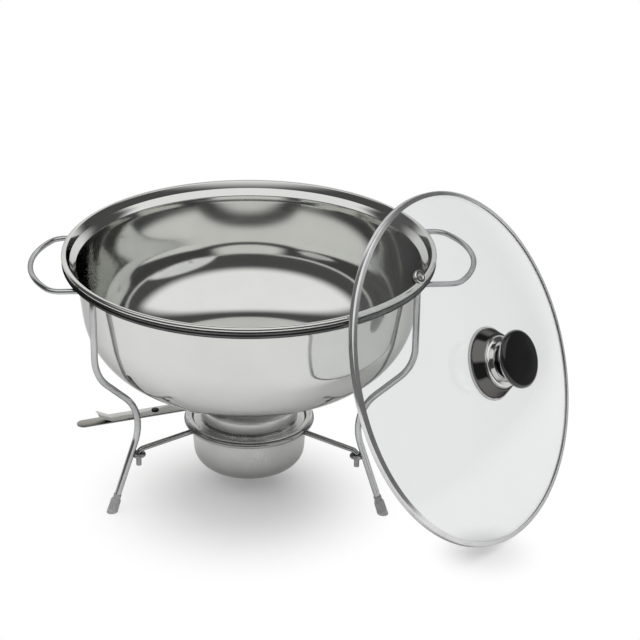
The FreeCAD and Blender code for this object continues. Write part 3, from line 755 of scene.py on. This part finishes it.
cap = {"profile": [(2.5, 42.5), (12.5, 42.5), (12.5, 44.0), (21.5, 53.2, 0.3), (24.0, 53.2, 2.0),
                   (24.0, 58.6, 2.4), (12.0, 60.2, 60.0), (0, 60.4), (0, 50.5), (2.5, 50.5)],
       "grain": 1.5, "steps": 120}
trim = {"profile": [(12.5, 44.0), (13.358, 43.161, 0.4), (22.358, 52.361, 0.5), (21.5, 53.2)],
        "grain": 1.5, "steps": 120}
screw = {"profile": [(0, 20.3), (5.0, 20.3, 1.2), (5.0, 22.8), (2.5, 22.8), (2.5, 50.5, 0.5), (0, 50.5)],
         "grain": 2.0, "steps": 48}
washer = {"profile": [(2.5, 22.8), (9.0, 22.8, 0.3), (9.0, 23.8, 0.3), (2.5, 23.8)],
          "grain": 2.0, "steps": 64}
bush = {"profile": [(2.5, 23.8), (9.0, 23.8, 0.3), (9.0, 24.9, 0.2), (3.6, 24.98), (3.6, 28.2), (2.5, 28.2)],
        "grain": 2.0, "steps": 64}
# the skirt keys paint the knob's skirt dark between two heights, a painted dark reflection
trimChrome = {"low": (0.70, 0.70, 0.695), "high": (0.80, 0.80, 0.795), "roughness": 0.03, "edge": 0.3,
              "skirt": (0.0275, 0.0383), "skirtFade": 0.0004, "skirtColour": (0.13, 0.128, 0.125)}


def middle(node):
    low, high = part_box(node)
    return (low + high) / 2 / mm


def lidFrame():
    lean, azimuth = math.radians(lid["lean"]), math.radians(lid["azimuth"])
    level = math.cos(lean)
    out = Vector((level * math.cos(azimuth), level * math.sin(azimuth), math.sin(lean)))
    across = up.cross(out).normalized()
    turn = Matrix((across, out.cross(across), out)).transposed().to_4x4()
    return Matrix.Translation(middle("knob_washer") - out * lid["washerHeight"]) @ turn


# The vent's axis: the dome's axis leaned about the dome's centre
def ventFrame():
    centre = Matrix.Translation((0, 0, lid["domeCentre"]))
    lean = math.asin(math.hypot(vent["across"], vent["up"]) / (lid["domeInner"] + lid["glass"]))
    return centre @ Matrix.Rotation(lean, 4, Vector((-vent["up"], vent["across"], 0))) @ centre.inverted()


onLid = lidFrame()
onVent = ventFrame()


# The knob's skirt is painted darker than its neck and its trim: a painted dark reflection
def darkReflectionSkirt(finish, colour, options):
    out = onLid.to_3x3() @ up
    axes = finish.parts(finish.place())
    level = out.dot(onLid.translation) * mm
    height = axes["X"] * out.x + axes["Y"] * out.y + axes["Z"] * out.z - level
    (low, high), fade = options["skirt"], options["skirtFade"]
    skirt = finish.smooth(height, low, low + fade) * (1 - finish.smooth(height, high, high + fade))
    return finish.blend(skirt, colour, shadeOf(options["skirtColour"]))


def domeHeight(radius, dome):
    return lid["domeCentre"] + math.sqrt(dome * dome - radius * radius)


# An arc of the dome drawn from one radius to another
def domeArc(bm, start, dome, fromRadius, toRadius, steps):
    sweep = math.asin(toRadius / dome) - math.asin(fromRadius / dome)
    return arcTo(bm, start, (0, 0, lid["domeCentre"]), sweep, steps, Vector((0, 1, 0)))


def domeRing(inner, outer, dome, thickness, steps, ease):
    bm = bmesh.new()
    high = dome + thickness
    start = bm.verts.new((inner, 0, domeHeight(inner, dome)))
    lowEdge = domeArc(bm, start, dome, inner, outer, steps)
    highEdge = bm.verts.new((outer, 0, domeHeight(outer, high)))
    bm.edges.new((lowEdge, highEdge))
    end = domeArc(bm, highEdge, high, outer, inner, steps)
    bm.edges.new((end, start))
    for vert in (lowEdge, highEdge, end, start):
        roundOff(bm, [vert], ease, 4, "VERTICES")
    return turned(bm, 200)


# Cuts a hole with another mesh
def drilled(name, bm, cutter):
    shown = []
    for part, label in ((bm, name), (cutter, name + "Drill")):
        mesh = bpy.data.meshes.new(label)
        part.to_mesh(mesh)
        part.free()
        shown.append(bpy.data.objects.new(label, mesh))
        bpy.context.scene.collection.objects.link(shown[-1])
    cut = shown[0].modifiers.new("drill", "BOOLEAN")
    cut.object, cut.operation, cut.solver = shown[1], "DIFFERENCE", "EXACT"
    result = bpy.data.meshes.new_from_object(shown[0].evaluated_get(bpy.context.evaluated_depsgraph_get()))
    for obj in shown:
        bpy.data.objects.remove(obj)
    made = bmesh.new()
    made.from_mesh(result)
    bpy.data.meshes.remove(result)
    return made


def makeGlass():
    dome = domeRing(lid["hole"], lid["edge"], lid["domeInner"], lid["glass"], 70, lid["ease"])
    drill = bmesh.new()
    bmesh.ops.create_cone(drill, cap_ends=True, segments=40, radius1=vent["hole"], radius2=vent["hole"],
                          depth=vent["drill"],
                          matrix=onVent @ Matrix.Translation((0, 0, vent["drillHeight"])))
    piece("lidGlass", drilled("lidGlassBlank", dome, drill), "lid_glass", onLid)


def makeGasket():
    dome = lid["domeInner"] + lid["glass"]
    bm = domeRing(gasket["inner"], gasket["outer"], dome, gasket["thickness"], 16, gasket["ease"])
    piece("knobGasket", bm, "knob_gasket", onLid)


finishes["chrome_trim"] = makeChrome("knobChrome", trimChrome, darkReflectionSkirt)
makeGlass()
turnedPiece("lidBand", band, "lid_band", onLid)
turnedPiece("ventEyelet", eyelet, "vent_eyelet", onLid @ onVent)
makeGasket()
turnedPiece("knobBell", bell, "knob_bell", onLid)
turnedPiece("knobCap", cap, "knob_cap", onLid)
turnedPiece("knobTrimRing", trim, "knob_trim_ring", onLid)
turnedPiece("knobScrew", screw, "knob_screw", onLid)
turnedPiece("knobWasher", washer, "knob_washer", onLid)
turnedPiece("innerGasket", bush, "inner_gasket", onLid)
print("lid made")


# Floor, light and camera, in metres

floorPaper = {"radius": 2.4, "shade": 0.9, "mottle": 0.01, "mottleSize": 1.5, "glow": 0.1,
              "mirrorFade": (0.45, 0.9),
              "shadows": [((-0.01, -0.04), 0.03, 0.145), ((0.193, -0.134), 0.0, 0.05)]}
studio = {"level": 0.9, "room": 0.08, "horizon": (0.5, 0.66), "ceiling": (0.15, 0.35),
          "backdrop": (0.55, 0.8)}
softbox = {"energy": 3.0, "size": 1.6, "place": (-0.9, -0.7, 2.2), "aim": (0.0, 0.0, 0.1)}
view = {"distance": 1.8, "elevation": 25.36, "focal": 2136.43, "frame": 640.0, "sensor": 36.0,
        "aim": (0.05984, 0.0, 0.1498), "roll": 0.8, "turn": -2.5}


def makeFloor():
    bm = bmesh.new()
    bmesh.ops.create_circle(bm, cap_ends=True, segments=96, radius=floorPaper["radius"])
    mesh = bpy.data.meshes.new("studioFloor")
    bm.to_mesh(mesh)
    bm.free()
    ground = bpy.data.objects.new("studioFloor", mesh)
    bpy.context.scene.collection.objects.link(ground)
    finish = Finish("studioFloorPaper", roughness=0.9, specular=0.0, glowStrength=1.0)
    axes = finish.parts(finish.place())

    def distance(x, y):
        away, back = axes["X"] - x, axes["Y"] - y
        return (away * away + back * back) ** 0.5

    # the paper is white to the eye, and grey where the burner and the lid shade it
    seen, mirrored = finish.rays()
    pale = seen
    for centre, near, away in floorPaper["shadows"]:
        pale = pale * finish.smooth(distance(*centre), near, away)
    mottle = finish.noise(finish.place(), floorPaper["mottleSize"], 3.0) * floorPaper["mottle"]
    shade = floorPaper["shade"] + mottle
    finish.drive(
        colour=finish.joined(*[shade * (1 - pale)] * 3),
        glow=pale + (1 - pale) * (seen + mirrored) * floorPaper["glow"],
        alpha=1 - finish.smooth(distance(0, 0), *floorPaper["mirrorFade"]) * mirrored)
    mesh.materials.append(finish.owner)


# White to the eye, plain light on everything, and in mirrors a dark room with a softbox and a backdrop
def makeStudio():
    world = bpy.data.worlds.new("softStudio")
    bpy.context.scene.world = world
    finish = Finish("softStudio", owner=world)
    axes = finish.parts(finish.node("ShaderNodeTexCoord")["Generated"])
    seen, mirrored = finish.rays()
    above = finish.smooth(axes["Z"], *studio["horizon"]) * (1 - finish.smooth(axes["Y"], *studio["ceiling"]))
    behind = finish.smooth(axes["Y"], *studio["backdrop"])
    mirror = 1 - (1 - above) * (1 - behind) * (1 - studio["room"])
    level = seen + mirrored * mirror + (1 - seen - mirrored) * studio["level"]
    background = finish.tree.nodes["Background"]
    finish.feed(background.inputs["Strength"], level)
    finish.feed(background.inputs["Color"], (1, 1, 1, 1))


def makeLamp():
    light = bpy.data.lights.new("softbox", "AREA")
    light.energy, light.size, light.shape = softbox["energy"], softbox["size"], "DISK"
    lamp = bpy.data.objects.new("softbox", light)
    lamp.location = softbox["place"]
    lamp.visible_glossy = False
    lamp.rotation_euler = (Vector(softbox["aim"]) - lamp.location).to_track_quat("-Z", "Y").to_euler()
    bpy.context.scene.collection.objects.link(lamp)


def makeCamera():
    lift, roll = math.radians(view["elevation"]), math.radians(view["roll"])
    ahead = Vector((0, math.cos(lift), -math.sin(lift)))
    right, top = Vector((1, 0, 0)), Vector((0, math.sin(lift), math.cos(lift)))
    rolledRight = right * math.cos(roll) + top * math.sin(roll)
    rolledTop = top * math.cos(roll) - right * math.sin(roll)
    facing = Matrix((rolledRight, rolledTop, -ahead)).transposed().to_4x4()
    place = Matrix.Translation(Vector(view["aim"]) - ahead * view["distance"])
    lens = bpy.data.cameras.new("photoCamera")
    lens.sensor_width = view["sensor"]
    lens.lens = view["sensor"] * view["focal"] / view["frame"]
    camera = bpy.data.objects.new("photoCamera", lens)
    bpy.context.scene.collection.objects.link(camera)
    camera.matrix_world = spread(view["turn"]) @ place @ facing
    bpy.context.scene.camera = camera


makeFloor()
makeStudio()
makeLamp()
makeCamera()
bpy.context.scene.view_settings.view_transform = "Standard"
print("stage made")
